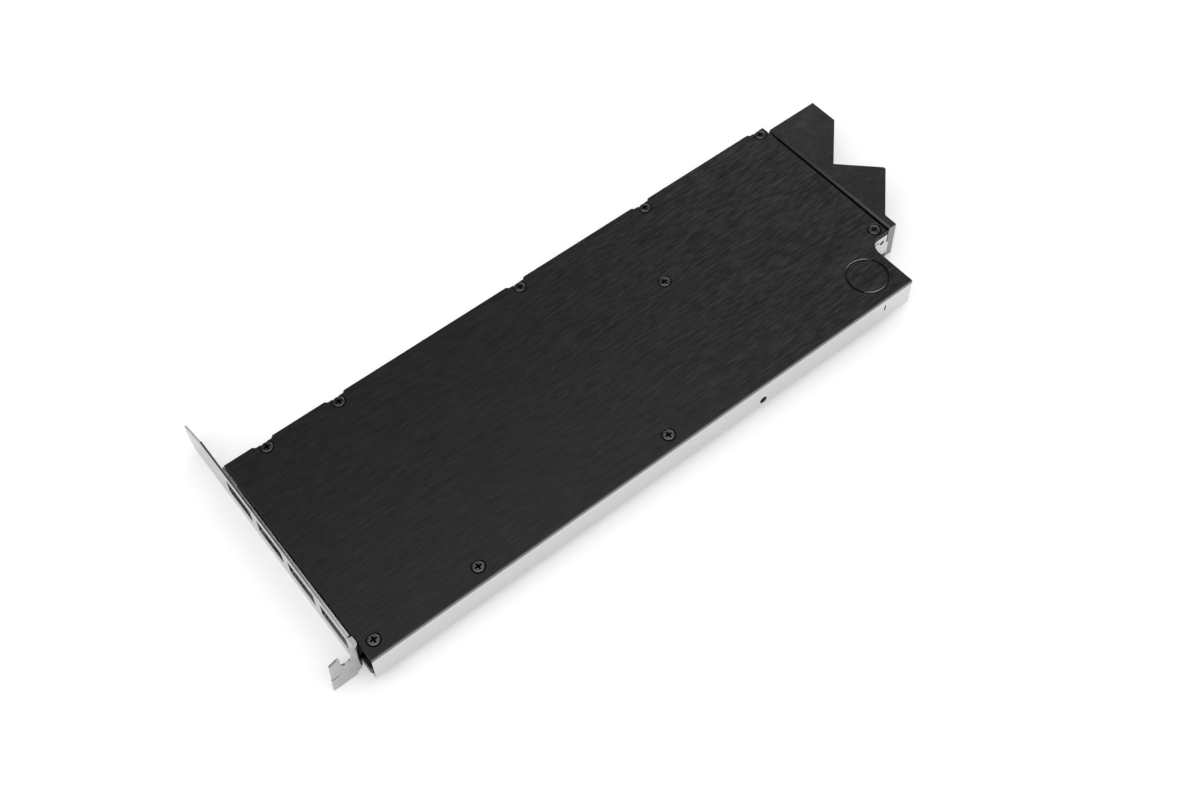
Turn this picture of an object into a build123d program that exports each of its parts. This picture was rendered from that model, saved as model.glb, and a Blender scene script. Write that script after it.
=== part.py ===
from build123d import *
import os
from math import cos, radians, sin

# A single-slot water block for a long graphics card, lying backplate up as it
# is laid on a bench. Everything is drawn with the origin at the corner where
# the near long edge meets the slot-bracket end, X along the card, Y across it,
# Z up from the plane that the block rests on. seat() then moves each piece so
# that the origin lies under the middle of the whole block. Millimetres.

# Heights above the resting plane
TOP_Z = 18.0                # outer face of the backplate
PLATE_T = 2.0
PLATE_UNDER_Z = TOP_Z - PLATE_T
BOARD_T = 1.57              # thickness of the card's board, which is not here
BOARD_UNDER_Z = PLATE_UNDER_Z - BOARD_T
DECK_Z = 11.0               # machined face of the cold plate, towards the card
LAND_Z = 12.2               # raised lands and die pedestal
POCKET_Z = 9.4              # sunk lands under the tall inductors
BASE_Z = 4.1                # face between cold plate and cover
CHANNEL_Z = 8.0             # ceiling of the coolant channels
FIN_ROOT_Z = 9.4
FIN_TIP_Z = 6.4
JET_T = 0.8

# Plan of the backplate and the cold plate
PLATE_LENGTH = 265.7        # along the far edge
SHORT_LENGTH = 255.3        # along the near edge, as far as the corner cut-out
PLATE_WIDTH = 98.3
NOTCH_Y = 23.45             # reach of the cut-out for the power plug
NOTCH_R = 5.3
COLD_LENGTH = 266.8
WALL_T = 2.6                # near wall of the cold plate
NOTCH_WALL_T = 1.2
WALL_SHY = 0.2              # the cut-out's wall ends this much short of the backplate
BAY_X = 26.0                # connector bay behind the slot bracket
BAY_Y = (9.2, 90.2)
BAY_FLOOR_Z = 6.0
THIN_WALL = (9.5, 1.0)      # near wall beside the bracket: its length and thickness
FAR_RAIL_X = 8.0
END_WALL = (-1.14, -0.72)   # thin wall of the bay, flat on the slot bracket
END_WALL_Y = (12.6, 98.0)
END_WALL_TOP_Z = 17.55
END_PAD = (88.0, -0.25)     # where its far end widens towards the backplate
EDGE_CHAMFER = 0.35

# Backplate fasteners and engraving
FAR_ROW_Y = 94.9
FAR_ROW_X = (16.8, 48.8, 134.6, 198.8, 262.0)
TAB_SCREWS = ((4.9, 5.8), (16.8, FAR_ROW_Y))
CARD_SCREWS = (
    (49.1, 5.8), (135.5, 5.4), (180.3, 60.6), (261.9, 27.5),
    (48.8, FAR_ROW_Y), (134.6, FAR_ROW_Y), (198.8, FAR_ROW_Y), (262.0, FAR_ROW_Y),
)
HEAD_R = 2.45
HEAD_H = 1.25
BORE_R = 2.85               # counterbore round each head
BORE_DEPTH = 1.0
CLEAR_R = 1.6
THREAD_R = 1.25
SCREW_LENGTH = 7.0
CROSS_W = 0.75
CROSS_L = 2.9
CROSS_DEPTH = 0.8
CROSS_FLOOR = (0.6, 0.8)    # size of the recess's floor beside its mouth, along and across
HEAD_EDGE_R = 0.6
RECESS_DEPTH = 0.9          # step in the far edge beside each far screw
RECESS_HALF = 3.4
RECESS_SLOPE = 1.0
RING_CENTRE = (243.1, 12.4)
RING_R = 8.25
RING_W = 0.95
RING_DEPTH = 0.6

# Standoffs between the cold plate and the card
STANDOFF_AF = 5.5
STANDOFF_TOP_Z = 13.93
STUD_R = 1.5
STUD_DEPTH = 2.5
WASHER_R = 2.8
BUSH_R = 2.7                # threaded bushes in the two tabs of the slot bracket
BUSH_SPIGOT_R = 2.1
BUSH_UNDER_Z = 11.2

# Coolant side
DIE_CENTRE = (118.0, 52.0)
PEDESTAL = 38.0
CHAMBER = 38.0
FIN_COUNT = 34
FIN_PITCH = 1.0
FIN_T = 0.5
FIN_LENGTH = 34.0
JET_SIZE = (37.4, 30.0)
JET_SLOT = (30.0, 2.0)
CHANNEL_W = 9.0
LOOP_X = (83.0, 239.0)      # centre line of the main gasket
LOOP_Y = (21.5, 87.6)
LOOP_R = 5.0
GASKET_W = 2.0
GASKET_H = 1.5
COVER_X = (0.2, 250.0)
COVER_Y = (3.2, 95.8)
COVER_R = 1.6
COVER_SCREW_ROWS_Y = (14.5, 92.2)
COVER_SCREW_ROW_X = (34.0, 245.0)
COVER_SCREWS_PER_ROW = 9
COVER_SCREW_COLUMNS_X = (30.0, 76.0, 245.0)
COVER_SCREW_COLUMN_Y = (40.5, 67.0)
CSK_R = 2.9
CSK_H = 1.7
HEX_AF = 2.0
HEX_DEPTH = 1.2
COVER_SCREW_TOP_Z = BASE_Z + 4.5
COVER_CHAMFER = 0.4
LANE_W = 8.0                # inlet lane from the port to the jet plate
LANE_DEPTH = 2.4
PORTS = ((226.0, 46.0), (226.0, 74.5))
PORT_R = 5.9                # core of a G 1/4 thread
PORT_BODY_R = 8.0
PORT_FLANGE_R = 9.4
PORT_FLANGE_T = 2.9
WELL_R = 9.7
PORT_RING_W = 1.1
PORT_RING_H = 1.0

# Threaded holes in the near wall and beside the cut-out
WALL_HOLE_X = 178.2
WALL_HOLE_Z = 6.9
WALL_HOLE_R = 1.65
WALL_HOLE_DEPTH = 7.0
SLIT_X = 241.5
SLIT_Z = (9.8, 13.0)
SLIT_W = 0.7
SLIT_DEPTH = 1.5
NOTCH_HOLE = (263.0, 12.5)
NOTCH_HOLE_R = 1.2
NOTCH_SLIT_X = (258.6, 261.2)
NOTCH_SLIT_Z = (13.3, 13.9)
NOTCH_SLIT_DEPTH = 0.7

# Slot bracket, to the standard full-height size
BRACKET_T = 0.86
BRACKET_OUT_X = -2.0
BRACKET_W = 18.42
BRACKET_Y = 6.9
BRACKET_LENGTH = 120.02
FLANGE_REACH = 11.43
FOLD_R = 0.5                # inside radius of the fold
ROOT_Y = 11.4               # the fold's root, doubled on the inside, ends here
ROOT_X = -0.3
ROOT_R = 1.9
RELIEF = (0.9, 0.9)         # small notch beside the root: its width and depth
HEEL_Z = 3.5                # the lower corner is cut away below this
WINDOW = (17.2, 8.0)
WINDOW_Z = 6.4
WINDOW_R = 1.2
WINDOW_PITCH = 21.4
WINDOW_FIRST_Y = 13.3
WINDOW_COUNT = 4
END_WINDOW_SPARE = 0.25     # the end wall's windows are wider all round
SLOT_X = -6.2               # middle of the screw slot in the bracket's flange
SLOT_W = 4.42
SLOT_DEPTH = 6.2
FLANGE_SLIT = (3.3, 7.4, 7.9)  # in the flange's free edge: its length and two heights
FLANGE_CUT = (0.8, 1.9)     # point on the cut-away lower corner, from the slot's side
PRONG_TOP = 0.82            # flat top of the prong outside the slot
PRONG_SLANT = (0.9, 1.2)
SLOT_CORNER_R = 1.8
TAB_Z = (BOARD_UNDER_Z - BRACKET_T, BOARD_UNDER_Z)
TAB_ROOM = 0.2              # gap round the far tab where it passes the end wall
TAB_REACH = 3.4             # from the middle of a tab's screw to its edges
TAB_R = 1.0
HEEL = (2.2, 4.4)           # slanted end of the heel, measured from the bracket's near side
TONGUE_NOSE = ((6.5, 0), (3.4, 0.9), (1.4, 3.2), (0.3, 7.0))  # back from its tip, and height
TONGUE_CORNER = 0.6
TONGUE_STEP_Y = 112.4
TONGUE_TOP_Z = (16.9, 12.4)

# Tail bracket, machined from one bar
TAIL_X = COLD_LENGTH
TAIL_T = 3.9
TAIL_Y = (24.1, 94.4)
TAIL_TOP_Z = 17.9
TAIL_ROUND = 1.2            # rounding of its edge beside the backplate
TONGUE_T = 2.0
TAIL_TIP_X = 291.7
TAIL_VEE = ((81.2, 291.7), (63.4, 274.1), (48.4, 289.1), (30.2, 270.7))
TAIL_POINT_R = 1.2
TAIL_SCREWS_Y = (33.5, 59.0, 84.5)
TAIL_SCREW_Z = 7.5
BUTTON_R = 2.75
BUTTON_H = 1.65
BUTTON_EDGE_R = 1.1
TAIL_SCREW_LENGTH = 6.4
TAIL_HOLE_DEPTH = 7.0

# Lands on the cold plate and pads, as spans in X and Y
MEMORY_LANDS = (
    ((86.0, 95.0), (30.0, 74.0)),
    ((141.0, 150.0), (30.0, 74.0)),
    ((99.0, 137.0), (15.0, 25.0)),
)
POWER_LANDS = (((160.0, 169.0), (14.0, 85.0)), ((64.0, 72.0), (20.0, 83.0)))
INDUCTOR_LANDS = (((186.0, 197.0), (14.0, 85.0)), ((50.0, 60.0), (20.0, 83.0)))
LAND_R = 1.5
BACK_MEMORY = (((82.0, 97.0), (28.0, 76.0)), ((139.0, 154.0), (28.0, 76.0)))
BACK_POWER = (((158.0, 171.0), (14.0, 52.0)), ((184.0, 197.0), (14.0, 85.0)))
PAD_T = 1.0
PAD_INSET = 0.5

# Middle of the whole block in plan, which becomes the origin
MID_X = (TAIL_TIP_X + BRACKET_OUT_X - FLANGE_REACH) / 2
MID_Y = (BRACKET_Y + BRACKET_LENGTH) / 2


def seat(shape):
    """Move a piece from the corner of the block to the origin under its middle."""
    return Pos(-MID_X, -MID_Y, 0) * shape


def brick(x, y, z):
    """A plain block between two values on each axis."""
    size = (x[1] - x[0], y[1] - y[0], z[1] - z[0])
    return Pos((x[0] + x[1]) / 2, (y[0] + y[1]) / 2, (z[0] + z[1]) / 2) * Box(*size)


def post(x, y, radius, z):
    """An upright cylinder between two heights."""
    return Pos(x, y, (z[0] + z[1]) / 2) * Cylinder(radius, z[1] - z[0])


def slab(x, y, z, radius):
    """A block with rounded upright corners."""
    plan = Pos((x[0] + x[1]) / 2, (y[0] + y[1]) / 2, z[0])
    return extrude(plan * RectangleRounded(x[1] - x[0], y[1] - y[0], radius), z[1] - z[0])


def card_plan(length, short, notch_y, width):
    """Plan of the card's outline, with the rounded cut-out for the power plug."""
    r = NOTCH_R
    middle = (short + r * (1 - cos(radians(45))), notch_y - r * (1 - sin(radians(45))))
    line = (
        Polyline((short, notch_y - r), (short, 0), (0, 0), (0, width), (length, width),
                 (length, notch_y), (short + r, notch_y))
        + ThreePointArc((short + r, notch_y), middle, (short, notch_y - r))
    )
    return make_face(line)


def all_screws():
    """Every backplate screw position."""
    return TAB_SCREWS + CARD_SCREWS


def make_backplate():
    """Plate with stepped far edge, chamfer, counterbores and an engraved ring."""
    plan = card_plan(PLATE_LENGTH, SHORT_LENGTH, NOTCH_Y, PLATE_WIDTH)
    for x in FAR_ROW_X[:-1]:
        step = Polyline(
            (x - RECESS_HALF - RECESS_SLOPE, PLATE_WIDTH + 1),
            (x - RECESS_HALF - RECESS_SLOPE, PLATE_WIDTH),
            (x - RECESS_HALF, PLATE_WIDTH - RECESS_DEPTH),
            (x + RECESS_HALF, PLATE_WIDTH - RECESS_DEPTH),
            (x + RECESS_HALF + RECESS_SLOPE, PLATE_WIDTH),
            (x + RECESS_HALF + RECESS_SLOPE, PLATE_WIDTH + 1),
            close=True)
        plan -= make_face(step)
    end_x = FAR_ROW_X[-1] - RECESS_HALF
    plan -= make_face(Polyline(
        (end_x - RECESS_SLOPE, PLATE_WIDTH + 1), (end_x - RECESS_SLOPE, PLATE_WIDTH),
        (end_x, PLATE_WIDTH - RECESS_DEPTH), (PLATE_LENGTH + 1, PLATE_WIDTH - RECESS_DEPTH),
        (PLATE_LENGTH + 1, PLATE_WIDTH + 1), close=True))
    plate = extrude(Pos(0, 0, PLATE_UNDER_Z) * plan, PLATE_T)
    rim = plate.faces().sort_by(Axis.Z)[-1].edges()
    plate = chamfer(rim, EDGE_CHAMFER)
    for x, y in all_screws():
        plate -= post(x, y, BORE_R, (TOP_Z - BORE_DEPTH, TOP_Z + 1))
        plate -= post(x, y, CLEAR_R, (PLATE_UNDER_Z - 1, TOP_Z))
    floor = TOP_Z - RING_DEPTH
    ring = post(*RING_CENTRE, RING_R + RING_W / 2, (floor, TOP_Z + 1))
    ring -= post(*RING_CENTRE, RING_R - RING_W / 2, (floor - 1, TOP_Z + 2))
    return plate - ring


def cross_screw(x, y):
    """Pan-head screw with a cross recess, sunk in the backplate."""
    seat_z = TOP_Z - BORE_DEPTH
    head = post(x, y, HEAD_R, (seat_z, seat_z + HEAD_H))
    head = fillet(head.edges().group_by(Axis.Z)[-1], HEAD_EDGE_R)
    top = seat_z + HEAD_H
    for turn in (0, 90):
        floor = Rectangle(CROSS_L * CROSS_FLOOR[0], CROSS_W * CROSS_FLOOR[1])
        mouth = Rectangle(CROSS_L, CROSS_W)
        head -= loft([(Pos(x, y, top - CROSS_DEPTH) * Rot(0, 0, turn) * floor).face(),
                      (Pos(x, y, top + 0.01) * Rot(0, 0, turn) * mouth).face()])
    return head + post(x, y, THREAD_R, (seat_z - SCREW_LENGTH, seat_z))


def make_standoff(x, y):
    """Hexagonal standoff on a stud that screws into the cold plate."""
    hexagon = RegularPolygon(STANDOFF_AF / 2, 6, major_radius=False)
    body = extrude(Pos(x, y, DECK_Z) * hexagon, STANDOFF_TOP_Z - DECK_Z)
    body += post(x, y, STUD_R, (DECK_Z - STUD_DEPTH, DECK_Z))
    return body - post(x, y, THREAD_R, (TOP_Z - BORE_DEPTH - SCREW_LENGTH, STANDOFF_TOP_Z + 1))


def make_washer(x, y):
    """Thin insulating washer between a standoff and the board."""
    ring = post(x, y, WASHER_R, (STANDOFF_TOP_Z, BOARD_UNDER_Z))
    return ring - post(x, y, CLEAR_R, (STANDOFF_TOP_Z - 1, BOARD_UNDER_Z + 1))


def pads(spans, z):
    """Soft pads laid on the middle of their lands."""
    return [
        brick((x[0] + PAD_INSET, x[1] - PAD_INSET), (y[0] + PAD_INSET, y[1] - PAD_INSET), z)
        for x, y in spans
    ]


def loop(width, z):
    """The rounded loop of the main gasket, or of the groove that holds it."""
    outer = slab((LOOP_X[0] - width / 2, LOOP_X[1] + width / 2),
                 (LOOP_Y[0] - width / 2, LOOP_Y[1] + width / 2), z, LOOP_R + width / 2)
    inner = slab((LOOP_X[0] + width / 2, LOOP_X[1] - width / 2),
                 (LOOP_Y[0] + width / 2, LOOP_Y[1] - width / 2),
                 (z[0] - 1, z[1] + 1), LOOP_R - width / 2)
    return outer - inner


def wet_cavity():
    """Chamber over the fins, the channels round it and the two port wells."""
    cx, cy = DIE_CENTRE
    half = CHAMBER / 2
    below = BASE_Z - 1
    west = cx - half - CHANNEL_W - 1
    south = cy - half - CHANNEL_W + 1
    north = cy + half + CHANNEL_W - 1
    outlet = PORTS[1]
    inlet = PORTS[0]
    cavity = slab((cx - half, cx + half), (cy - half, cy + half), (below, FIN_ROOT_Z), 1.0)
    cavity += slab((west, cx + half), (south, cy - half + 1), (below, CHANNEL_Z), 2.0)
    cavity += slab((west, west + CHANNEL_W), (south, north), (below, CHANNEL_Z), 2.0)
    cavity += slab((west, outlet[0]), (cy + half - 1, north), (below, CHANNEL_Z), 2.0)
    cavity += post(*outlet, WELL_R, (below, CHANNEL_Z))
    cavity += slab((inlet[0] - 2 * WELL_R - 1, inlet[0] + WELL_R),
                   (inlet[1] - WELL_R, inlet[1] + WELL_R), (below, CHANNEL_Z), WELL_R - 0.1)
    return cavity


def fins():
    """Row of thin upright fins hanging from the chamber's ceiling over the die."""
    cx, cy = DIE_CENTRE
    first = cx - FIN_PITCH * (FIN_COUNT - 1) / 2
    span = (cy - FIN_LENGTH / 2, cy + FIN_LENGTH / 2)
    return [
        brick((first + n * FIN_PITCH - FIN_T / 2, first + n * FIN_PITCH + FIN_T / 2),
              span, (FIN_TIP_Z, FIN_ROOT_Z + 0.2))
        for n in range(FIN_COUNT)
    ]


def make_end_wall():
    """Thin wall of the connector bay, flat on the bracket, with its own windows."""
    in_x, out_x = END_WALL
    near_y, far_y = END_WALL_Y
    wall = brick((in_x, out_x), END_WALL_Y, (BASE_Z, END_WALL_TOP_Z))
    pad_y, pad_x = END_PAD
    wall += brick((in_x, pad_x), (pad_y, far_y), (BASE_Z, END_WALL_TOP_Z))
    wall += brick((in_x, FAR_RAIL_X), (near_y, far_y), (BASE_Z, BAY_FLOOR_Z))
    for n in range(WINDOW_COUNT):
        y, z = window_middle(n)
        wide = WINDOW[0] + 2 * END_WINDOW_SPARE
        high = WINDOW[1] + 2 * END_WINDOW_SPARE
        opening = Plane.YZ * Pos(y, z, 0) * RectangleRounded(wide, high, WINDOW_R)
        wall -= extrude(Pos(in_x - 1, 0, 0) * opening, pad_x - in_x + 2)
    tab_y = TAB_SCREWS[1][1] - TAB_ROOM
    return wall - brick((in_x - 1, FAR_RAIL_X), (tab_y, PLATE_WIDTH),
                        (TAB_Z[0] - TAB_ROOM, TAB_Z[1] + TAB_ROOM))


def make_cold_plate():
    """Machined copper plate: card side with lands, coolant side with channels."""
    plan = card_plan(COLD_LENGTH, SHORT_LENGTH, NOTCH_Y, PLATE_WIDTH)
    plate = extrude(Pos(0, 0, BASE_Z) * plan, DECK_Z - BASE_Z)
    inner = card_plan(COLD_LENGTH + 1, SHORT_LENGTH - WALL_T, NOTCH_Y + NOTCH_WALL_T,
                      PLATE_WIDTH + 1)
    wall = extrude(Pos(0, 0, DECK_Z) * plan, PLATE_UNDER_Z - DECK_Z)
    wall -= brick((-1, SHORT_LENGTH - WALL_T), (WALL_T, PLATE_WIDTH + 1), (DECK_Z, TOP_Z))
    wall -= extrude(Pos(0, 0, DECK_Z - 1) * inner, TOP_Z) & brick(
        (SHORT_LENGTH - WALL_T - 1, COLD_LENGTH + 2), (WALL_T, PLATE_WIDTH + 2),
        (DECK_Z - 1, TOP_Z + 1))
    wall -= brick((PLATE_LENGTH - WALL_SHY, COLD_LENGTH + 1), (NOTCH_Y - 1, PLATE_WIDTH),
                  (DECK_Z, TOP_Z))
    plate += wall
    plate -= brick((-1, BAY_X), BAY_Y, (BAY_FLOOR_Z, TOP_Z))
    plate -= brick((-1, FAR_RAIL_X), (BAY_Y[1] - 1, PLATE_WIDTH + 1), (BAY_FLOOR_Z, TOP_Z))
    plate -= brick((-1, THIN_WALL[0]), (THIN_WALL[1], BAY_Y[0]), (0, TOP_Z))
    plate += make_end_wall()
    cx, cy = DIE_CENTRE
    half = PEDESTAL / 2
    plate += slab((cx - half, cx + half), (cy - half, cy + half), (DECK_Z - 1, LAND_Z), 2.0)
    for x, y in MEMORY_LANDS + POWER_LANDS:
        plate += slab(x, y, (DECK_Z - 1, LAND_Z), LAND_R)
    for x, y in INDUCTOR_LANDS:
        plate -= slab(x, y, (POCKET_Z, DECK_Z + 1), LAND_R)
    plate -= wet_cavity()
    plate += fins()
    plate -= loop(GASKET_W, (BASE_Z - 1, BASE_Z + GASKET_H))
    for x, y in (TAB_SCREWS[1],) + CARD_SCREWS:
        plate -= post(x, y, STUD_R, (DECK_Z - STUD_DEPTH, DECK_Z + 1))
    for x, y in cover_screw_places():
        plate -= post(x, y, THREAD_R, (BASE_Z - 1, COVER_SCREW_TOP_Z))
    for y in TAIL_SCREWS_Y:
        hole = Rot(0, 90, 0) * Cylinder(THREAD_R, 2 * TAIL_HOLE_DEPTH)
        plate -= Pos(COLD_LENGTH, y, TAIL_SCREW_Z) * hole
    side_hole = Rot(90, 0, 0) * Cylinder(WALL_HOLE_R, 2 * WALL_HOLE_DEPTH)
    plate -= Pos(WALL_HOLE_X, 0, WALL_HOLE_Z) * side_hole
    plate -= brick((SLIT_X - SLIT_W / 2, SLIT_X + SLIT_W / 2), (-1, SLIT_DEPTH), SLIT_Z)
    through = Rot(90, 0, 0) * Cylinder(NOTCH_HOLE_R, 3 * NOTCH_WALL_T)
    plate -= Pos(NOTCH_HOLE[0], NOTCH_Y + NOTCH_WALL_T / 2, NOTCH_HOLE[1]) * through
    return plate - brick(NOTCH_SLIT_X, (NOTCH_Y - 1, NOTCH_Y + NOTCH_SLIT_DEPTH), NOTCH_SLIT_Z)


def cover_screw_places():
    """Cover screws: a row along each long side and two in each column between them."""
    first, last = COVER_SCREW_ROW_X
    pitch = (last - first) / (COVER_SCREWS_PER_ROW - 1)
    rows = [(first + n * pitch, y) for y in COVER_SCREW_ROWS_Y
            for n in range(COVER_SCREWS_PER_ROW)]
    return rows + [(x, y) for x in COVER_SCREW_COLUMNS_X for y in COVER_SCREW_COLUMN_Y]


def countersunk(x, y):
    """Countersunk head in the cover's outer face, drawn from below."""
    return Pos(x, y, CSK_H / 2) * Cone(CSK_R, THREAD_R, CSK_H)


def cover_screw(x, y):
    """Countersunk socket screw that holds the cover to the cold plate."""
    screw = countersunk(x, y) + post(x, y, THREAD_R, (CSK_H - 0.1, COVER_SCREW_TOP_Z))
    socket = Pos(x, y, -0.01) * RegularPolygon(HEX_AF / 2, 6, major_radius=False)
    return screw - extrude(socket, HEX_DEPTH)


def make_cover():
    """Cover over the channels, with an inlet channel, an island and two ports."""
    cover = slab(COVER_X, COVER_Y, (0, BASE_Z), COVER_R)
    cover = chamfer(cover.faces().sort_by(Axis.Z)[0].edges(), COVER_CHAMFER)
    cx, cy = DIE_CENTRE
    island_top = FIN_TIP_Z - JET_T
    cover += slab((cx - JET_SIZE[0] / 2, cx + JET_SIZE[0] / 2),
                  (cy - JET_SIZE[1] / 2, cy + JET_SIZE[1] / 2), (BASE_Z - 1, island_top), 1.0)
    lane_end = PORTS[0][0] - 2 * WELL_R + 4
    lane = slab((cx - JET_SLOT[0] / 2, lane_end), (cy - LANE_W / 2, cy + LANE_W / 2),
                (BASE_Z - LANE_DEPTH, BASE_Z + 3), 2.0)
    keep = brick((cx + JET_SIZE[0] / 2 - 1.5, COVER_X[1]), (cy - LANE_W, cy + LANE_W),
                 (BASE_Z, BASE_Z + 4))
    cover -= lane - keep
    for x, y in PORTS:
        cover -= post(x, y, PORT_BODY_R, (-1, BASE_Z + 1))
        cover -= post(x, y, PORT_BODY_R + PORT_RING_W, (BASE_Z - PORT_RING_H, BASE_Z + 1))
    for x, y in cover_screw_places():
        cover -= countersunk(x, y)
        cover -= post(x, y, THREAD_R, (CSK_H - 0.2, BASE_Z + 1))
    return cover


def make_port_insert(x, y):
    """Threaded port bush, let into the cover from the wet side."""
    bush = post(x, y, PORT_BODY_R, (0, BASE_Z))
    bush += post(x, y, PORT_FLANGE_R, (BASE_Z, BASE_Z + PORT_FLANGE_T))
    return bush - post(x, y, PORT_R, (-1, BASE_Z + PORT_FLANGE_T + 1))


def make_port_gasket(x, y):
    """O-ring under the flange of a port bush."""
    ring = post(x, y, PORT_BODY_R + PORT_RING_W, (BASE_Z - PORT_RING_H, BASE_Z))
    return ring - post(x, y, PORT_BODY_R, (0, BASE_Z + 1))


def make_jet_plate():
    """Thin plate that lets the coolant down on the fins through one slot."""
    cx, cy = DIE_CENTRE
    z = (FIN_TIP_Z - JET_T, FIN_TIP_Z)
    plate = slab((cx - JET_SIZE[0] / 2, cx + JET_SIZE[0] / 2),
                 (cy - JET_SIZE[1] / 2, cy + JET_SIZE[1] / 2), z, 1.0)
    slot = Pos(cx, cy, z[0] - 1) * SlotOverall(*JET_SLOT)
    return plate - extrude(slot, 3)


def window_middle(n):
    """Middle of a connector window, across the card and in height."""
    return WINDOW_FIRST_Y + WINDOW[0] / 2 + n * WINDOW_PITCH, WINDOW_Z + WINDOW[1] / 2


def make_fold():
    """The bracket's bent sheet in plan, thickened at the root of the fold."""
    out_x = BRACKET_OUT_X
    in_x = out_x + BRACKET_T
    flange_x = out_x - FLANGE_REACH
    back_y = BRACKET_Y + BRACKET_T
    tip_y = BRACKET_Y + BRACKET_LENGTH
    plan = make_face(Polyline(
        (flange_x, BRACKET_Y), (ROOT_X, BRACKET_Y), (ROOT_X, ROOT_Y), (in_x, ROOT_Y),
        (in_x, tip_y), (out_x, tip_y), (out_x, back_y), (flange_x, back_y), close=True))
    outside = plan.vertices().sort_by_distance((ROOT_X, BRACKET_Y, 0))[0]
    plan = fillet(outside, ROOT_R)
    inside = plan.vertices().sort_by_distance((out_x, back_y, 0))[0]
    return fillet(inside, FOLD_R)


def face_outline():
    """Outline of the bracket's face: heel, tongue, step and relief notch."""
    tip_y = BRACKET_Y + BRACKET_LENGTH
    relief_y = ROOT_Y + RELIEF[0]
    return Polyline(
        (BRACKET_Y - 1, HEEL_Z), (BRACKET_Y + HEEL[0], HEEL_Z), (BRACKET_Y + HEEL[1], 0),
        *((tip_y - back, z) for back, z in TONGUE_NOSE),
        (tip_y, TONGUE_TOP_Z[1] - TONGUE_CORNER), (tip_y - TONGUE_CORNER, TONGUE_TOP_Z[1]),
        (TONGUE_STEP_Y + 1.2, TONGUE_TOP_Z[0]), (TONGUE_STEP_Y, BRACKET_W),
        (relief_y, BRACKET_W), (relief_y, BRACKET_W - RELIEF[1]),
        (ROOT_Y, BRACKET_W - RELIEF[1]), (ROOT_Y, BRACKET_W), (BRACKET_Y - 1, BRACKET_W),
        close=True)


def flange_outline():
    """Outline of the screw flange, with its open slot and cut-away lower corner."""
    flange_x = BRACKET_OUT_X - FLANGE_REACH
    slot_l = SLOT_X - SLOT_W / 2
    slot_r = SLOT_X + SLOT_W / 2
    return Polyline(
        (flange_x, 0), (slot_r, 0), (slot_r + FLANGE_CUT[0], FLANGE_CUT[1]), (ROOT_X, HEEL_Z),
        (ROOT_X + 1, HEEL_Z), (ROOT_X + 1, BRACKET_W), (slot_r, BRACKET_W),
        (slot_r, BRACKET_W - SLOT_DEPTH), (slot_l, BRACKET_W - SLOT_DEPTH),
        (slot_l, BRACKET_W), (slot_l - PRONG_TOP, BRACKET_W),
        (flange_x + PRONG_SLANT[0], BRACKET_W - PRONG_SLANT[1]), close=True)


def make_tabs():
    """The two tabs that hold the bracket to the backplate's end screws."""
    root = BRACKET_OUT_X + BRACKET_T / 2
    near_x, near_y = TAB_SCREWS[0]
    far_x, far_y = TAB_SCREWS[1]
    near_end = WINDOW_FIRST_Y - 1.2
    far_end = far_y + TAB_REACH - TAB_ROOM
    near = slab((near_x - TAB_REACH, near_x + TAB_REACH), (near_y - TAB_REACH + 0.3, near_end),
                TAB_Z, TAB_R)
    near += brick((root, near_x), (BRACKET_Y + ROOT_R - 0.3, near_end), TAB_Z)
    far = slab((near_x - TAB_REACH, far_x + TAB_REACH), (far_y - TAB_REACH, far_end), TAB_Z,
               TAB_R)
    far += brick((root, near_x), (far_y, far_end), TAB_Z)
    near -= post(near_x, near_y, BUSH_SPIGOT_R, (TAB_Z[0] - 1, TAB_Z[1] + 1))
    far -= post(far_x, far_y, BUSH_SPIGOT_R, (TAB_Z[0] - 1, TAB_Z[1] + 1))
    return near + far


def make_bracket():
    """Folded slot bracket: face with four windows, screw flange, tongue and tabs."""
    face = extrude(Pos(BRACKET_OUT_X - 0.1, 0, 0) * make_face(Plane.YZ * face_outline()),
                   ROOT_X - BRACKET_OUT_X + 0.2)
    flange = extrude(Pos(0, BRACKET_Y + ROOT_R, 0) * make_face(Plane.XZ * flange_outline()),
                     ROOT_R + 0.1)
    bracket = extrude(make_fold(), BRACKET_W) & (face + flange)
    slot_z = BRACKET_W - SLOT_DEPTH
    slot_ends = bracket.edges().filter_by(Axis.Y).filter_by_position(
        Axis.Z, slot_z - 0.01, slot_z + 0.01)
    bracket = fillet(slot_ends, SLOT_CORNER_R)
    for n in range(WINDOW_COUNT):
        y, z = window_middle(n)
        window = Plane.YZ * Pos(y, z, 0) * RectangleRounded(*WINDOW, WINDOW_R)
        bracket -= extrude(Pos(BRACKET_OUT_X - 1, 0, 0) * window, BRACKET_T + 2)
    flange_x = BRACKET_OUT_X - FLANGE_REACH
    reach, low, high = FLANGE_SLIT
    bracket -= brick((flange_x - 1, flange_x + reach), (BRACKET_Y - 1, BRACKET_Y + 2),
                     (low, high))
    return bracket + make_tabs()


def make_tab_bush(x, y):
    """Threaded bush pressed into a tab of the slot bracket from below."""
    bush = post(x, y, BUSH_R, (BUSH_UNDER_Z, TAB_Z[0]))
    bush += post(x, y, BUSH_SPIGOT_R, TAB_Z)
    return bush - post(x, y, THREAD_R, (BUSH_UNDER_Z - 1, TAB_Z[1] + 1))


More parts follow.
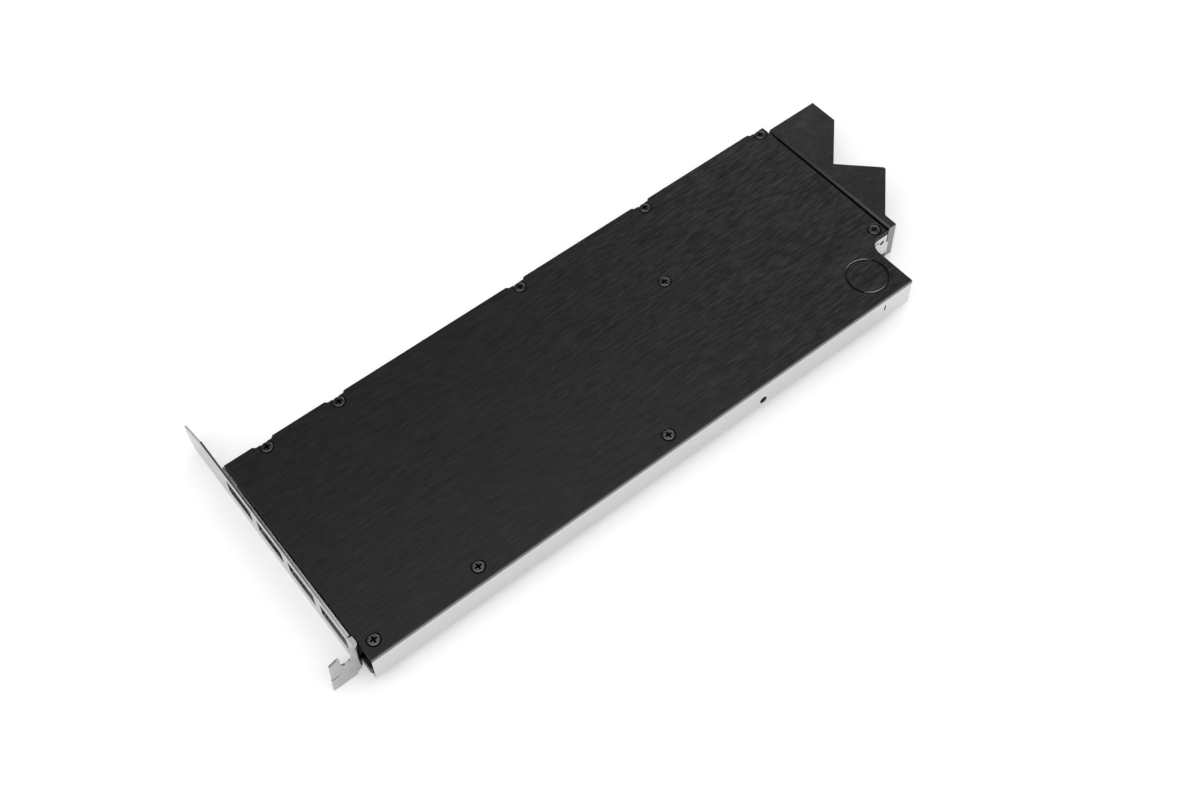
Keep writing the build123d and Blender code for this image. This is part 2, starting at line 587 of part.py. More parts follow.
def make_tail_bracket():
    """L-shaped tail piece: upright leg on the cold plate's end, notched tongue."""
    leg = brick((TAIL_X, TAIL_X + TAIL_T), TAIL_Y, (0, TAIL_TOP_Z))
    corners = [(TAIL_X, TAIL_Y[1]), (TAIL_TIP_X, TAIL_Y[1])]
    corners += [(x, y) for y, x in TAIL_VEE]
    corners += [(TAIL_X + TAIL_T, TAIL_Y[0]), (TAIL_X, TAIL_Y[0])]
    tongue = extrude(Pos(0, 0, TAIL_TOP_Z - TONGUE_T)
                     * make_face(Polyline(*corners, close=True)), TONGUE_T)
    point = (TAIL_VEE[2][1], TAIL_VEE[2][0])
    near_point = [e for e in tongue.edges().filter_by(Axis.Z)
                  if abs(e.center().X - point[0]) < 0.1 and abs(e.center().Y - point[1]) < 0.1]
    tongue = fillet(near_point, TAIL_POINT_R)
    bracket = leg + tongue
    shoulder = [e for e in bracket.edges().filter_by(Axis.Y)
                if abs(e.center().X - TAIL_X) < 0.01 and e.center().Z > TAIL_TOP_Z - 0.01]
    bracket = fillet(shoulder, TAIL_ROUND)
    for y in TAIL_SCREWS_Y:
        hole = Rot(0, 90, 0) * Cylinder(CLEAR_R, TAIL_T * 3)
        bracket -= Pos(TAIL_X + TAIL_T / 2, y, TAIL_SCREW_Z) * hole
    return bracket


def tail_screw(y):
    """Button-head socket screw through the tail bracket into the cold plate."""
    seat_x = TAIL_X + TAIL_T
    head = Pos(seat_x + BUTTON_H / 2, y, TAIL_SCREW_Z) * Rot(0, 90, 0) * Cylinder(
        BUTTON_R, BUTTON_H)
    head = fillet(head.edges().group_by(Axis.X)[-1], BUTTON_EDGE_R)
    socket = Plane.YZ * Pos(y, TAIL_SCREW_Z, 0) * RegularPolygon(
        HEX_AF / 2, 6, major_radius=False)
    head -= extrude(Pos(seat_x + BUTTON_H - HEX_DEPTH, 0, 0) * socket, HEX_DEPTH + 1)
    shank = Rot(0, 90, 0) * Cylinder(THREAD_R, TAIL_SCREW_LENGTH)
    return head + Pos(seat_x - TAIL_SCREW_LENGTH / 2, y, TAIL_SCREW_Z) * shank


def as_group(solids):
    """Identical pieces kept as separate solids in one node."""
    return Compound(children=list(solids))


PIECES = {
    "backplate": make_backplate(),
    "backplate_screws": as_group(cross_screw(x, y) for x, y in all_screws()),
    "backplate_memory_pads": as_group(pads(BACK_MEMORY, (PLATE_UNDER_Z - PAD_T, PLATE_UNDER_Z))),
    "backplate_power_pads": as_group(pads(BACK_POWER, (PLATE_UNDER_Z - PAD_T, PLATE_UNDER_Z))),
    "standoffs": as_group(make_standoff(x, y) for x, y in CARD_SCREWS),
    "insulating_washers": as_group(make_washer(x, y) for x, y in CARD_SCREWS),
    "cold_plate": make_cold_plate(),
    "memory_pads": as_group(pads(MEMORY_LANDS, (LAND_Z, LAND_Z + PAD_T))),
    "power_stage_pads": as_group(pads(POWER_LANDS, (LAND_Z, LAND_Z + PAD_T))),
    "inductor_pads": as_group(pads(INDUCTOR_LANDS, (POCKET_Z, POCKET_Z + PAD_T))),
    "jet_plate": make_jet_plate(),
    "main_gasket": loop(GASKET_W, (BASE_Z, BASE_Z + GASKET_H)),
    "cover": make_cover(),
    "cover_screws": as_group(cover_screw(x, y) for x, y in cover_screw_places()),
    "port_bushes": as_group(make_port_insert(x, y) for x, y in PORTS),
    "port_gaskets": as_group(make_port_gasket(x, y) for x, y in PORTS),
    "slot_bracket": make_bracket(),
    "bracket_tab_bushes": as_group(make_tab_bush(x, y) for x, y in TAB_SCREWS),
    "tail_bracket": make_tail_bracket(),
    "tail_bracket_screws": as_group(tail_screw(y) for y in TAIL_SCREWS_Y),
}

os.makedirs("parts", exist_ok=True)
for name, shape in PIECES.items():
    export_step(seat(shape), f"parts/{name}.step")
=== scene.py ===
import bpy
import numpy as np
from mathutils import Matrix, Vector


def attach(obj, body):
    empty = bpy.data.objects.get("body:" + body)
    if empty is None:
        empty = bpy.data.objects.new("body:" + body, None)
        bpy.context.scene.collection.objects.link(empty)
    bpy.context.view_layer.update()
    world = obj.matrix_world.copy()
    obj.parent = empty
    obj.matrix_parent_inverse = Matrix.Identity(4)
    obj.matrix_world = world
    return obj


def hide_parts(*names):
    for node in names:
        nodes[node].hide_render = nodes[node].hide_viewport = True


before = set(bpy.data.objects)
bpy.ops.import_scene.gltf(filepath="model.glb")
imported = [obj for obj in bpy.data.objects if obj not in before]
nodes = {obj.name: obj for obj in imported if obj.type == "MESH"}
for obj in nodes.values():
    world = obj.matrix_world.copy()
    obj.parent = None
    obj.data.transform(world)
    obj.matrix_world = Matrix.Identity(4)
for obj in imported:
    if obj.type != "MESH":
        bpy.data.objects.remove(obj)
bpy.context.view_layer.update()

MM = 0.001


# Cold plate
# A slab of copper milled on both faces, then plated with satin nickel. Its near
# wall was finished along the length, so the light draws out into fine lines.

class Wiring:
    """Shorthands for one node tree. A term is the output of a node or a plain value."""

    def __init__(self, tree):
        self.tree = tree

    def put(self, kind, **values):
        """A new node, with its properties or its sockets set by name."""
        node = self.tree.nodes.new(kind)
        for key, value in values.items():
            if hasattr(node, key):
                setattr(node, key, value)
            else:
                node.inputs[key.replace("_", " ")].default_value = value
        return node

    def feed(self, term, socket):
        """Links a term to a socket, or writes it there if it is a plain value."""
        if isinstance(term, bpy.types.NodeSocket):
            self.tree.links.new(term, socket)
        else:
            socket.default_value = term

    def operate(self, kind, operation, *terms):
        """A new node that works out one operation on its terms, in their order."""
        node = self.put(kind, operation=operation)
        for term, socket in zip(terms, node.inputs):
            self.feed(term, socket)
        return node

    def math(self, operation, *terms):
        """One operation on numbers."""
        return self.operate("ShaderNodeMath", operation, *terms).outputs["Value"]

    def vector(self, operation, *terms):
        """One operation on vectors that gives a vector."""
        return self.operate("ShaderNodeVectorMath", operation, *terms).outputs["Vector"]

    def parts(self, vector):
        """The X, Y and Z of a vector."""
        node = self.put("ShaderNodeSeparateXYZ")
        self.feed(vector, node.inputs[0])
        return node.outputs

    def ramp(self, term, start, full, low=0.0, high=1.0, **shape):
        """A straight line from low, where the term is at start, to high, where it is
        at full, and level beyond both."""
        node = self.put("ShaderNodeMapRange", From_Min=start, From_Max=full,
                        To_Min=low, To_Max=high, **shape)
        self.feed(term, node.inputs["Value"])
        return node.outputs[0]

    def mix(self, kind, share, first, second):
        """The first term where the share is 0 and the second where it is 1: two
        numbers where the kind is FLOAT, two colours where it is RGBA."""
        node = self.put("ShaderNodeMix", data_type=kind)
        sockets, output = {"FLOAT": ((0, 2, 3), 0), "RGBA": ((0, 6, 7), 2)}[kind]
        for term, number in zip((share, first, second), sockets):
            self.feed(term, node.inputs[number])
        return node.outputs[output]

    def noise(self, place, **values):
        """Smooth noise at a place, nearly all of it between 0.25 and 0.75."""
        node = self.put("ShaderNodeTexNoise", **values)
        self.feed(place, node.inputs["Vector"])
        return node.outputs["Fac"]

    def here(self):
        """The place on the piece, in metres from the middle of the block's foot."""
        return self.put("ShaderNodeTexCoord").outputs["Object"]


def effect_group(name, label, kind, value, output):
    """A shader node group that takes one named value and gives one named number:
    the group, its wiring, the value's socket and the number's socket."""
    group = bpy.data.node_groups.new(name, "ShaderNodeTree")
    socket = group.interface.new_socket(label, in_out="INPUT", socket_type=kind)
    socket.default_value = value
    group.interface.new_socket(output, in_out="OUTPUT", socket_type="NodeSocketFloat")
    wires = Wiring(group)
    taken = wires.put("NodeGroupInput").outputs[label]
    given = wires.put("NodeGroupOutput").inputs[output]
    return group, wires, taken, given


EVEN_LINES = (700.0, 700.0, 700.0)
BROAD_SCALE = 0.32
BROAD_SHARE = 0.2


def make_brushed_lines():
    """Lines left by an abrasive belt: noise on places that are stretched by a number
    of lines per metre on each axis, with a share of broader lines among the fine."""
    group, wires, per_metre, given = effect_group(
        "brushed lines", "Lines per metre", "NodeSocketVector", EVEN_LINES, "Lines")
    fine_place = wires.vector("MULTIPLY", wires.here(), per_metre)
    fine = wires.noise(fine_place, Scale=1.0, Detail=3.0, Roughness=0.6)
    broad_place = wires.vector("MULTIPLY", fine_place, (BROAD_SCALE,) * 3)
    broad = wires.noise(broad_place, Scale=1.0, Detail=2.0, Roughness=0.5)
    wires.feed(wires.mix("FLOAT", BROAD_SHARE, fine, broad), given)
    return group


SMUDGES_PER_METRE = 90.0
SMUDGE_CUT = (0.48, 0.72)
SMUDGE_DULLING = 0.04


def make_handling():
    """Faint smudges from handling: warped noise, cut so that only its peaks show."""
    group, wires, per_metre, given = effect_group(
        "handling", "Smudges per metre", "NodeSocketFloat", SMUDGES_PER_METRE, "Smudges")
    smudge = wires.put("ShaderNodeTexNoise", Detail=5.0, Roughness=0.62, Distortion=0.6)
    wires.feed(wires.here(), smudge.inputs["Vector"])
    wires.feed(per_metre, smudge.inputs["Scale"])
    wires.feed(wires.ramp(smudge.outputs["Fac"], *SMUDGE_CUT), given)
    return group


BRUSHED = make_brushed_lines()
HANDLING = make_handling()
NOISE_SPAN = (0.25, 0.75)
NOISE_MIDDLE = 0.5


def bitten(wires, lines, start, full, share):
    """Lines from a belt that bites more along the length: drawn in towards their
    middle to a share of their strength at the start, and whole where it is full."""
    along = wires.parts(wires.here())["X"]
    strength = wires.ramp(along, start * MM, full * MM, low=share)
    swing = wires.math("SUBTRACT", lines, NOISE_MIDDLE)
    return wires.math("MULTIPLY_ADD", swing, strength, NOISE_MIDDLE)


def finish_material(name, dark, light, metallic, roughness, spread, lines=EVEN_LINES,
                    depth=0.0, contrast=(0.3, 0.7), bite=None, rounding=0.0, places=(),
                    **constants):
    """A metal or plastic finish. The colour goes from dark to light where the lines'
    noise crosses the span of contrast, and the roughness swings with it by the
    spread. The lines stand up by a depth, and a rounding bends the light over the
    sharp edges, both in millimetres. A bite is what bitten takes, and each of the
    places is a mask, with the colour and roughness of the surface where it is 1.
    Constants go straight to the shader's own sockets."""
    material = bpy.data.materials.new(name)
    material.use_nodes = True
    wires = Wiring(material.node_tree)
    shader = material.node_tree.nodes["Principled BSDF"]
    shader.inputs["Metallic"].default_value = metallic
    for key, value in constants.items():
        shader.inputs[key.replace("_", " ")].default_value = value

    brushed = wires.put("ShaderNodeGroup", node_tree=BRUSHED, Lines_per_metre=lines)
    noise = brushed.outputs["Lines"]
    if bite:
        noise = bitten(wires, noise, *bite)
    handled = wires.put("ShaderNodeGroup", node_tree=HANDLING)
    color_now = wires.mix("RGBA", wires.ramp(noise, *contrast), (*dark, 1.0), (*light, 1.0))
    swing = wires.ramp(noise, *NOISE_SPAN, roughness - spread, roughness + spread)
    rough_now = wires.math("MULTIPLY_ADD", handled.outputs["Smudges"], SMUDGE_DULLING, swing)
    for mask, own_color, own_roughness in places:
        place = mask(wires)
        color_now = wires.mix("RGBA", place, color_now, (*own_color, 1.0))
        rough_now = wires.mix("FLOAT", place, rough_now, own_roughness)
    wires.feed(color_now, shader.inputs["Base Color"])
    wires.feed(rough_now, shader.inputs["Roughness"])

    if depth:
        bump = wires.put("ShaderNodeBump", Strength=1.0, Distance=depth * MM)
        wires.feed(noise, bump.inputs["Height"])
        wires.feed(bump.outputs["Normal"], shader.inputs["Normal"])
        if rounding:
            edge = wires.put("ShaderNodeBevel", samples=4, Radius=rounding * MM)
            wires.feed(edge.outputs["Normal"], bump.inputs["Normal"])
    return material


def grey(level):
    """A colour with the same red, green and blue."""
    return (level, level, level)


def dress(node, material):
    """Gives a piece one material in all its slots."""
    mesh = nodes[node].data
    mesh.materials.clear()
    mesh.materials.append(material)


def box_mask(low, high, blur=0.05):
    """A mask that is 1 inside a box, and falls to 0 over the blur outside it, all in
    millimetres from the middle of the block's foot: how far a point lies outside
    on each axis, the largest of the three, turned round."""
    middle = [(a + b) / 2 * MM for a, b in zip(low, high)]
    half = [(b - a) / 2 * MM for a, b in zip(low, high)]

    def build(wires):
        away = wires.vector("ABSOLUTE", wires.vector("SUBTRACT", wires.here(), middle))
        x, y, z = wires.parts(wires.vector("SUBTRACT", away, half))
        furthest = wires.math("MAXIMUM", wires.math("MAXIMUM", x, y), z)
        return wires.ramp(furthest, 0.0, blur * MM, low=1.0, high=0.0)
    return build


# The small pocket beside the bracket's fold is painted near black: painted shade
# standing for the shadow that lies in it.
POCKET_SHADE = box_mask((-139.6, -63.3, 0.0), (-128.5, -54.0, 15.9))
nickel = finish_material(
    "satin nickel plating", dark=grey(0.60), light=grey(0.65), metallic=1.0,
    roughness=0.24, spread=0.03, lines=(60.0, 1800.0, 2600.0), depth=0.0012,
    places=[(POCKET_SHADE, grey(0.002), 0.9)])
dress("cold_plate", nickel)


# Coolant side
# A black acetal cover closes the channels. It is screwed on over a rubber loop,
# holds two nickel-plated port bushes, and presses the steel jet plate on the fins.

acetal = finish_material(
    "black acetal", dark=(0.020, 0.020, 0.021), light=(0.030, 0.030, 0.031), metallic=0.0,
    roughness=0.42, spread=0.05, lines=(500.0, 900.0, 900.0), depth=0.004)
dress("cover", acetal)
rubber = finish_material(
    "gasket rubber", dark=grey(0.012), light=grey(0.024), metallic=0.0,
    roughness=0.75, spread=0.08)
dress("main_gasket", rubber)
dress("port_gaskets", rubber)
steel = finish_material(
    "stainless sheet", dark=grey(0.56), light=grey(0.66), metallic=1.0,
    roughness=0.3, spread=0.06, lines=(60.0, 2000.0, 2000.0), depth=0.004)
dress("jet_plate", steel)
bright = finish_material(
    "turned nickel", dark=(0.70, 0.69, 0.66), light=(0.82, 0.81, 0.78), metallic=1.0,
    roughness=0.2, spread=0.05, lines=(900.0, 900.0, 2600.0), depth=0.003)
dress("standoffs", bright)
dress("bracket_tab_bushes", bright)

# Places are in millimetres from the block's corner, which lies CORNER away from its
# middle. Heights are from its foot, where the bushes' outer ends are.
CORNER = (139.135, 63.46)
PORT_PLACES = ((226.0, 46.0), (226.0, 74.5))
PORT_BODY_R = 8.0
PORT_FLANGE_R = 9.4
PORT_FLANGE_Z = 4.1
PORT_TOP_Z = 7.0
PORT_CHAMFER = 0.15
PORT_CORE_R = 5.9
PORT_LEAD = 0.7
PORT_THREAD_DEPTH = 0.62
PORT_THREAD_PITCH = 1.337
PORT_THREAD_ROWS = 48
PORT_THREAD_END = 0.5
STEPS = 64
SHARP_ANGLE = 40.0


def turned(name, radii, heights, places, ring=False):
    """Surface of a turned piece, once at each place. Row k is a closed curve round
    the axis, with its distance and height for each angle in radii[k] and
    heights[k], in millimetres. Rows are joined by four-sided faces. A ring's last
    row joins its first, and other pieces end in a point at both ends."""
    rows, steps = radii.shape
    angle = np.arange(steps) * 2 * np.pi / steps
    points = np.stack([radii * np.cos(angle), radii * np.sin(angle), heights], -1)
    points = points.reshape(-1, 3)
    k, n = np.meshgrid(np.arange(rows if ring else rows - 1), np.arange(steps), indexing="ij")
    after = (k + 1) % rows
    turn = (n + 1) % steps
    quads = np.stack([k * steps + n, after * steps + n, after * steps + turn,
                      k * steps + turn], -1).reshape(-1, 4)
    first = np.arange(steps)
    last = (rows - 1) * steps + first
    ends = np.zeros((0, 3), int)
    if not ring:
        tips = [(0.0, 0.0, heights[0].mean()), (0.0, 0.0, heights[-1].mean())]
        points = np.vstack([points, tips])
        tip = np.full(steps, rows * steps)
        ends = np.vstack([np.stack([tip, first, np.roll(first, -1)], -1),
                          np.stack([last, tip + 1, np.roll(last, -1)], -1)])
    all_points, all_faces = [], []
    for number, (x, y) in enumerate(places):
        shift = number * len(points)
        all_points.append(points + (x - CORNER[0], y - CORNER[1], 0.0))
        all_faces += (quads + shift).tolist() + (ends + shift).tolist()
    mesh = bpy.data.meshes.new(name)
    mesh.from_pydata((np.vstack(all_points) * MM).tolist(), [], all_faces)
    mesh.polygons.foreach_set("use_smooth", np.ones(len(mesh.polygons), bool))
    mesh.set_sharp_from_angle(angle=np.radians(SHARP_ANGLE))
    piece = bpy.data.objects.new(name, mesh)
    bpy.context.scene.collection.objects.link(piece)
    return piece


def all_round(values):
    """Rows in which each value is the same at every angle."""
    return np.asarray(values)[:, None] * np.ones(STEPS)


def thread_wave(turns, angle):
    """A triangle wave along a helix: 0 at the root and 1 at the crest, where turns
    counts pitches along the axis and one turn round the axis shifts it by one."""
    return 1 - np.abs(2 * ((turns + angle / (2 * np.pi)) % 1.0) - 1)


AROUND = np.arange(STEPS) * 2 * np.pi / STEPS
outside = np.array([(PORT_FLANGE_R, PORT_TOP_Z), (PORT_FLANGE_R, PORT_FLANGE_Z),
                    (PORT_BODY_R, PORT_FLANGE_Z), (PORT_BODY_R, PORT_CHAMFER),
                    (PORT_BODY_R - PORT_CHAMFER, 0.0), (PORT_CORE_R + PORT_LEAD, 0.0)])
climb = all_round(np.linspace(PORT_LEAD, PORT_TOP_Z, PORT_THREAD_ROWS))
groove = 1 - thread_wave(climb / PORT_THREAD_PITCH, AROUND)
run_out = np.clip((PORT_TOP_Z - climb) / PORT_THREAD_END, 0, 1)
bore_r = PORT_CORE_R + PORT_THREAD_DEPTH * groove * run_out
port_bushes = turned(
    "threaded_port_bushes", np.vstack([all_round(outside[:, 0]), bore_r]),
    np.vstack([all_round(outside[:, 1]), climb]), PORT_PLACES, ring=True)
port_bushes.data.materials.append(bright)
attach(port_bushes, "root")
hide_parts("port_bushes")


# Soft pads and washers
# Grey silicone pads lie on the lands and under the backplate, and a nylon washer
# tops each standoff so that the board is not scratched.

pad = finish_material(
    "thermal pad", dark=(0.36, 0.37, 0.40), light=(0.44, 0.45, 0.48), metallic=0.0,
    roughness=0.8, spread=0.06, lines=(500.0, 500.0, 500.0), depth=0.02)
for name in ("memory_pads", "power_stage_pads", "inductor_pads",
             "backplate_memory_pads", "backplate_power_pads"):
    dress(name, pad)
nylon = finish_material(
    "nylon washer", dark=(0.62, 0.62, 0.60), light=(0.70, 0.70, 0.68), metallic=0.0,
    roughness=0.5, spread=0.05)
dress("insulating_washers", nylon)


# Backplate
# Two-millimetre aluminium sheet, belt-brushed along its length and anodised
# black, with its edges chamfered afterwards.

ACROSS = "Y"


def facing(axis, start, full):
    """A mask by how far a face turns to one axis: 0 where the size of the normal's
    part on that axis is at start, and 1 where it is at full."""
    def build(wires):
        normal = wires.put("ShaderNodeNewGeometry").outputs["Normal"]
        return wires.ramp(wires.math("ABSOLUTE", wires.parts(normal)[axis]), start, full)
    return build


def both_masks(first, second):
    """The part of a surface that lies in two masks at once: their product."""
    def build(wires):
        return wires.math("MULTIPLY", first(wires), second(wires))
    return build


# The chamfers along the plate are bare cut faces painted a little lighter, and its
# long sides lighter still, as painted light. What lies below the brushed face, such
# as the floors of the counterbores and of the engraved ring, is painted near black as
# shade, and the ring's walls that face across the plate are painted bright: a
# painted highlight.
CHAMFER_LIGHT = facing(ACROSS, 0.50, 0.69)
LONG_SIDE_LIGHT = facing(ACROSS, 0.72, 0.95)
FLOOR_SHADE = box_mask((-140.0, -62.9, 15.0), (130.0, 34.4, 17.5))
RING_WALL_GLINTS = both_masks(box_mask((94.0, -60.6, 17.45), (113.5, -41.5, 17.97), blur=0.02),
                        facing(ACROSS, 0.55, 0.95))
anodised = finish_material(
    "brushed black anodising", dark=grey(0.002), light=(0.033, 0.033, 0.0335),
    metallic=0.0, roughness=0.34, spread=0.10, lines=(200.0, 2800.0, 2800.0),
    depth=0.024, contrast=(0.44, 0.66), bite=(-30.0, 120.0, 0.30),
    places=[(CHAMFER_LIGHT, grey(0.04), 0.35), (LONG_SIDE_LIGHT, grey(0.17), 0.35),
            (FLOOR_SHADE, grey(0.001), 0.7), (RING_WALL_GLINTS, grey(0.75), 0.3)],
    Specular_IOR_Level=0.26)
dress("backplate", anodised)


# Screws
# Blackened steel: cross-recessed in the backplate, countersunk in the cover and
# button-headed on the tail bracket.

BLACK_OXIDE = dict(dark=grey(0.07), light=grey(0.12), metallic=1.0, roughness=0.26,
                   spread=0.05, lines=(1500.0, 1500.0, 1500.0), depth=0.004)
oxide = finish_material("black oxide", **BLACK_OXIDE)
dress("cover_screws", oxide)
dress("tail_bracket_screws", oxide)

SCREW_PLACES = (
    (4.9, 5.8), (16.8, 94.9), (49.1, 5.8), (135.5, 5.4), (180.3, 60.6), (261.9, 27.5),
    (48.8, 94.9), (134.6, 94.9), (198.8, 94.9), (262.0, 94.9))
HEAD_TOP = 18.25
HEAD_SEAT = 17.0
HEAD_R = 2.3
HEAD_ROUND = 0.4
HEAD_MIDDLE_R = 0.04
HEAD_CROWN = 0.06
HEAD_DOME_ROWS = 30
HEAD_ROUND_ROWS = 5
ROUND_START = HEAD_TOP - 0.05
SIDE_ROW = HEAD_TOP - 0.9
SHANK_R = 1.25
SHANK_LENGTH = 7.0
SHANK_ROWS = 84
SHANK_TIP = 0.8
THREAD_DEPTH = 0.2
THREAD_PITCH = 0.5
THREAD_START = 0.05
CROSS_HALF = 1.45
CROSS_WIDE = 0.45
CROSS_NARROWING = 0.1
CROSS_DEEP = 0.85
CROSS_RISE = 0.35
CROSS_WALL = 0.12
CROSS_END_WALL = 3 * CROSS_WALL
CROSS_DARK = 0.25


def cross_depth(x, y):
    """Depth of the cross recess: two crossed arms that narrow to their ends, with
    steep walls, a floor that rises outwards and a deeper middle."""
    def arm(along, across):
        outwards = np.abs(along) / CROSS_HALF
        width = CROSS_WIDE - CROSS_NARROWING * outwards
        side = np.clip((width - np.abs(across)) / CROSS_WALL, 0, 1)
        end = np.clip((CROSS_HALF - np.abs(along)) / CROSS_END_WALL, 0, 1)
        return side * end * (1 - CROSS_RISE * outwards)
    return CROSS_DEEP * np.maximum(arm(x, y), arm(y, x))


# The head's top is a shallow crown with the recess cut in it, then a round edge
flat = np.linspace(HEAD_MIDDLE_R, HEAD_R - HEAD_ROUND, HEAD_DOME_ROWS)
bend = np.linspace(0, np.pi / 2, HEAD_ROUND_ROWS + 1)[1:]
top_r = all_round(np.concatenate([flat, HEAD_R - HEAD_ROUND + HEAD_ROUND * np.sin(bend)]))
cut = cross_depth(top_r * np.cos(AROUND), top_r * np.sin(AROUND))
top_z = all_round(np.concatenate([HEAD_TOP - HEAD_CROWN * (flat / HEAD_R) ** 2,
                                  ROUND_START - HEAD_ROUND * (1 - np.cos(bend))])) - cut
under_r = all_round([HEAD_R, HEAD_R, SHANK_R])
under_z = all_round([SIDE_ROW, HEAD_SEAT, HEAD_SEAT])

# Down the shank, from 0 to 1, the thread starts under the head and tapers at the tip
down = all_round(np.linspace(0, 1, SHANK_ROWS + 1)[1:])
fade_in = np.clip(down / THREAD_START, 0, 1)
fade_out = np.clip((1 - down) * SHANK_LENGTH / SHANK_TIP, 0, 1)
crest = thread_wave(down * SHANK_LENGTH / THREAD_PITCH, AROUND) * fade_in * fade_out
shank_r = SHANK_R - THREAD_DEPTH * (1 - crest)
shank_z = HEAD_SEAT - down * SHANK_LENGTH
cross_screws = turned(
    "cross_head_screws", np.vstack([top_r, under_r, shank_r]),
    np.vstack([top_z, under_z, shank_z]), SCREW_PLACES)

# The depth of the recess is kept on the mesh, 1 where it is deep, for the shade that
# is painted into it, also for the two end points: the top's middle lies in the recess and the
# shank's tip does not
below = np.zeros((len(under_r) + len(shank_r), STEPS))
recess_rows = np.vstack([np.clip(cut / CROSS_DARK, 0, 1), below])
recess = np.concatenate([recess_rows.ravel(), [1.0, 0.0]])
stored_recess = cross_screws.data.attributes.new("recess", "FLOAT", "POINT")
stored_recess.data.foreach_set("value", np.tile(recess, len(SCREW_PLACES)))


def recess_shade_mask(wires):
    """The part of a head that lies inside its cross recess, where shade is painted."""
    return wires.put("ShaderNodeAttribute", attribute_name="recess").outputs["Fac"]


# Painted shade: the cross recess of each head is painted near black.
head_oxide = finish_material(
    "black oxide heads", places=[(recess_shade_mask, grey(0.004), 0.7)], **BLACK_OXIDE)
cross_screws.data.materials.append(head_oxide)
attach(cross_screws, "root")
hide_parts("backplate_screws")


# Slot bracket
# One steel sheet, punched, folded and plated with bright nickel. Two tabs with
# pressed-in bushes hold it under the backplate, where little light reaches them, so
# the tabs are painted near black: painted shade.

# Painted shade: the tabs under the backplate are painted near black.
TAB_SHADE = box_mask((-139.3, -62.0, 13.0), (-120.0, 40.0, 15.0))
bracket_nickel = finish_material(
    "bright nickel on steel", dark=grey(0.40), light=grey(0.48), metallic=1.0,
    roughness=0.20, spread=0.04, lines=(300.0, 300.0, 300.0), depth=0.003, rounding=0.12,
    places=[(TAB_SHADE, grey(0.01), 0.7)])
dress("slot_bracket", bracket_nickel)


# Tail bracket
# Machined from one bar and anodised satin black without brushing; its ends are painted paler,
# as painted light.
# Three button-head screws hold its leg to the end of the cold plate.

# Painted light: the faces turned across the block are painted paler.
ENDS_PAINTED_LIGHT = facing(ACROSS, 0.2, 0.4)
satin = finish_material(
    "satin black anodising", dark=grey(0.003), light=(0.006, 0.006, 0.0062), metallic=0.0,
    roughness=0.23, spread=0.03, lines=(500.0, 500.0, 500.0), depth=0.003,
    places=[(ENDS_PAINTED_LIGHT, grey(0.22), 0.35)], Specular_IOR_Level=1.0)
dress("tail_bracket", satin)


# Table, light and camera
# A plain white table under one large softbox, with a second panel behind the block
# and a room whose walls are white and whose ceiling is dim. The camera stands
# where the photograph's camera stood.

TABLE_SIZE = 6.0
TABLE_COLOR = grey(0.90)
TABLE_ROUGHNESS = 0.9
TABLE_LIFT = 0.25
FADE_START = 0.35
FADE_END = 1.0


def seen_background(wires):
    """1 where the background is seen straight, in a mirror or through glass, else 0."""
    path = wires.put("ShaderNodeLightPath").outputs
    either = wires.math("MAXIMUM", path["Is Camera Ray"], path["Is Glossy Ray"])
    return wires.math("MAXIMUM", either, path["Is Transmission Ray"])


def table_paint():
    """Matt white paint with a glow where it is seen as background: faint close to the
    block, so that the table keeps its shadows, and rising to white further off."""
    material = bpy.data.materials.new("white table")
    material.use_nodes = True
    tree = material.node_tree
    wires = Wiring(tree)
    paint = tree.nodes["Principled BSDF"]
    paint.inputs["Base Color"].default_value = (*TABLE_COLOR, 1.0)
    paint.inputs["Roughness"].default_value = TABLE_ROUGHNESS
    paint.inputs["Specular IOR Level"].default_value = 0.0
    away = wires.operate("ShaderNodeVectorMath", "LENGTH", wires.here()).outputs["Value"]
    fade = wires.ramp(away, FADE_START, FADE_END, low=TABLE_LIFT)
    glow = wires.put("ShaderNodeEmission", Color=(*grey(1.0), 1.0))
    wires.feed(wires.math("MULTIPLY", seen_background(wires), fade), glow.inputs["Strength"])
    both = wires.put("ShaderNodeAddShader")
    wires.feed(paint.outputs[0], both.inputs[0])
    wires.feed(glow.outputs[0], both.inputs[1])
    wires.feed(both.outputs[0], tree.nodes["Material Output"].inputs["Surface"])
    return material


side = TABLE_SIZE / 2
table_mesh = bpy.data.meshes.new("table")
table_mesh.from_pydata(
    [(-side, -side, 0.0), (side, -side, 0.0), (side, side, 0.0), (-side, side, 0.0)],
    [], [(0, 1, 2, 3)])
table_mesh.materials.append(table_paint())
table = bpy.data.objects.new("table", table_mesh)
bpy.context.scene.collection.objects.link(table)

WALL_LIGHT = 1.0
CEILING_LIGHT = 0.06
WALL_TOP = 0.25
CEILING_START = 0.70


def white_room():
    """A room that dims from its walls to its ceiling as a direction's height rises,
    smoothly between two heights, and looks white from the camera."""
    world = bpy.data.worlds.new("white room")
    world.use_nodes = True
    wires = Wiring(world.node_tree)
    room = world.node_tree.nodes["Background"]
    room.inputs["Color"].default_value = (*grey(1.0), 1.0)
    direction = wires.put("ShaderNodeTexCoord").outputs["Generated"]
    light = wires.ramp(wires.parts(direction)["Z"], WALL_TOP, CEILING_START,
                       WALL_LIGHT, CEILING_LIGHT, interpolation_type="SMOOTHSTEP")
    seen = wires.put("ShaderNodeLightPath").outputs["Is Camera Ray"]
    wires.feed(wires.math("MAXIMUM", seen, light), room.inputs["Strength"])
    return world


bpy.context.scene.world = white_room()


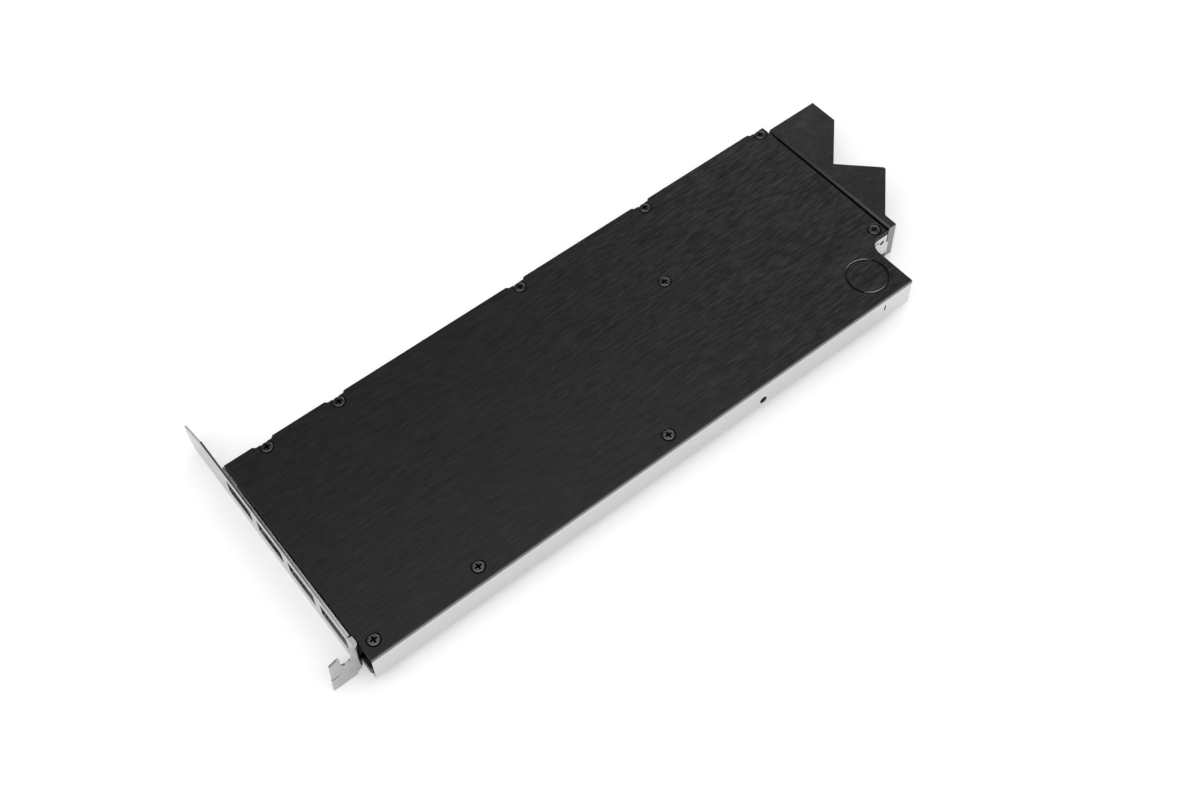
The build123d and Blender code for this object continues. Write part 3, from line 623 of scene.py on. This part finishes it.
def light_panel(name, level, width, depth, place, turn=(0.0, 0.0, 0.0)):
    """A lamp with a flat square-cornered face, sized in metres, that shines straight
    down unless it is turned. The level is how bright the face is, where 1 is white:
    the lamp's power is the level times pi times the area of the face."""
    light = bpy.data.lights.new(name, "AREA")
    light.shape = "RECTANGLE"
    light.size = width
    light.size_y = depth
    light.energy = level * np.pi * width * depth
    lamp = bpy.data.objects.new(name, light)
    bpy.context.scene.collection.objects.link(lamp)
    lamp.location = place
    lamp.rotation_euler = turn


# The softbox stops short of where most of the plate would mirror it
SOFTBOX_X = (-1.9, 0.72)
SOFTBOX_Y = (-1.4, 0.56)
SOFTBOX_HEIGHT = 1.2
SOFTBOX_LEVEL = 1.35
light_panel("softbox", SOFTBOX_LEVEL, SOFTBOX_X[1] - SOFTBOX_X[0],
            SOFTBOX_Y[1] - SOFTBOX_Y[0],
            (sum(SOFTBOX_X) / 2, sum(SOFTBOX_Y) / 2, SOFTBOX_HEIGHT))
BACK_SIZE = 1.4
BACK_LEVEL = 2.5
BACK_PLACE = Vector((1.7, 1.3, 0.7))
light_panel("back panel", BACK_LEVEL, BACK_SIZE, BACK_SIZE, BACK_PLACE,
            turn=(-BACK_PLACE).to_track_quat("-Z", "Y").to_euler())

# The camera's place is in millimetres from the middle of the block's foot, and its
# turn is in degrees about X, Y and Z. The shift is what was cut off the picture.
CAMERA_PLACE = Vector((-217.319, -295.494, 522.123)) * MM
CAMERA_TURN = (38.03705, 3.20674, -37.01554)
CAMERA_LENS = 48.3454
CAMERA_SENSOR = 36.0
CAMERA_SHIFT = (0.069682, -0.103891)
camera_data = bpy.data.cameras.new("camera")
camera_data.lens = CAMERA_LENS
camera_data.sensor_width = CAMERA_SENSOR
camera_data.shift_x, camera_data.shift_y = CAMERA_SHIFT
camera = bpy.data.objects.new("camera", camera_data)
bpy.context.scene.collection.objects.link(camera)
camera.location = CAMERA_PLACE
camera.rotation_euler = np.radians(CAMERA_TURN)
bpy.context.scene.camera = camera
bpy.context.scene.view_settings.view_transform = "Standard"
